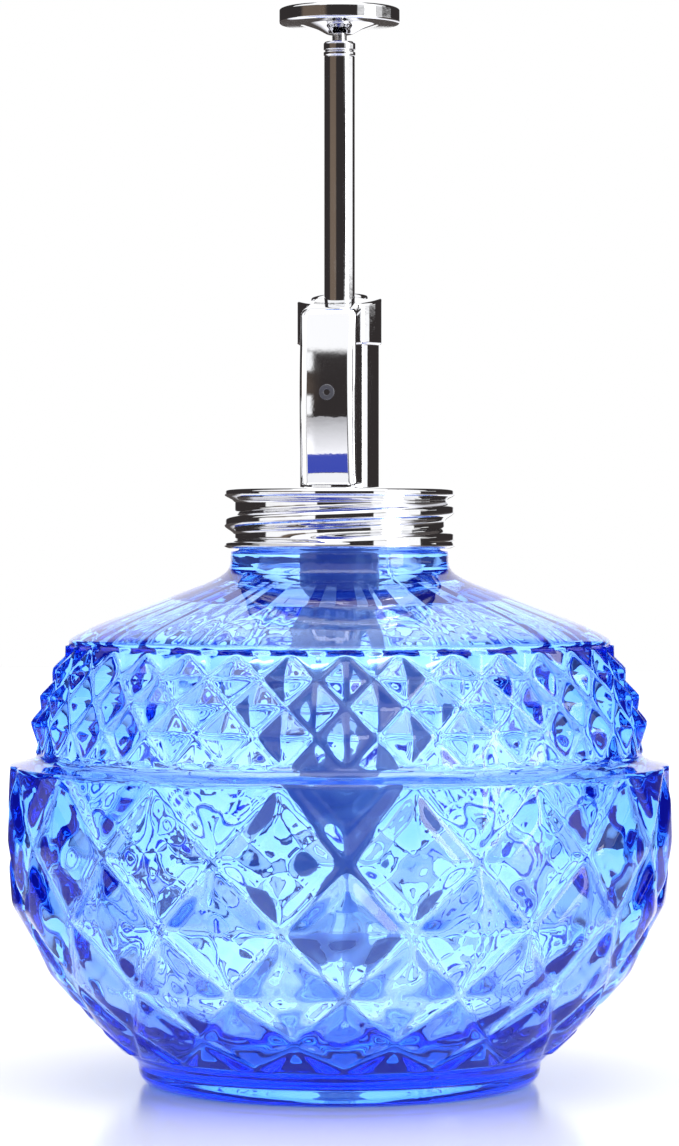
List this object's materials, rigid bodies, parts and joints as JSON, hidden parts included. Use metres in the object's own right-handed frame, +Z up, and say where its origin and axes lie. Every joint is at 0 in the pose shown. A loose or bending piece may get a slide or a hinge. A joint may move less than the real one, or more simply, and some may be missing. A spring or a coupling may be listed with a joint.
{
  "type": "perfume atomiser",
  "caption": "Hand-pumped fragrance atomiser: a blue faceted glass bottle with a chrome screw cap, a front nozzle and a spring-return plunger pressed by a thumb disc.",
  "frame": {"origin": "centre of the base, on the surface that the bottle stands on", "axes": "+Z up along the plunger, -Y is the way the nozzle sprays"},
  "size_m": [0.1002, 0.1002, 0.161],
  "materials": {
    "blue_glass": "pressed, tinted blue right through",
    "polished_chrome": "polished",
    "steel": "bright drawn",
    "seal_rubber": "matt",
    "white_plastic": "moulded",
    "dark_plastic": "moulded",
    "clear_plastic": "extruded, translucent"
  },
  "bodies": {
    "bottle": {"glass_bottle": "blue_glass"},
    "pump_head": {"pump_housing": "polished_chrome", "guide_bush": "white_plastic", "rod_seal": "seal_rubber", "nozzle_tip": "dark_plastic", "swirl_core": "white_plastic", "nozzle_seal": "seal_rubber", "neck_gasket": "seal_rubber", "pump_barrel": "dark_plastic", "barrel_seal": "seal_rubber", "inlet_seat": "white_plastic", "inlet_cage": "white_plastic", "dip_tube": "clear_plastic", "strainer": "white_plastic", "return_spring": "steel"},
    "cap": {"screw_cap": "polished_chrome"},
    "plunger": {"thumb_disc": "polished_chrome", "plunger_rod": "steel", "plunger_tube": "polished_chrome", "tube_collar": "polished_chrome", "piston": "dark_plastic", "piston_seal": "seal_rubber"},
    "inlet_valve": {"inlet_ball": "steel"},
    "outlet_valve": {"outlet_ball": "steel"}
  },
  "joints": [
    {"name": "closure_lift", "type": "slide", "parent": "bottle", "child": "pump_head", "axis": [0, 0, 1], "range_m": [0, 0.00709]},
    {"name": "cap_turn", "type": "hinge", "parent": "pump_head", "child": "cap", "pos_m": [0, 0, 0.0801], "axis": [0, 0, 1], "range_deg": [0, 630]},
    {"name": "plunger_press", "type": "slide", "parent": "pump_head", "child": "plunger", "axis": [0, 0, -1], "range_m": [0, 0.034], "stiffness_N_per_m": 100, "springref_m": -0.02, "deforming": ["return_spring"]},
    {"name": "inlet_ball_lift", "type": "slide", "parent": "pump_head", "child": "inlet_valve", "axis": [0, 0, 1], "range_m": [0, 0.0012]},
    {"name": "outlet_ball_lift", "type": "slide", "parent": "plunger", "child": "outlet_valve", "axis": [0, 0, 1], "range_m": [0, 0.0008]}
  ],
  "couplings": [
    {"joint": "cap_turn", "follows": "closure_lift", "rad_per_m": 1551.4}
  ]
}
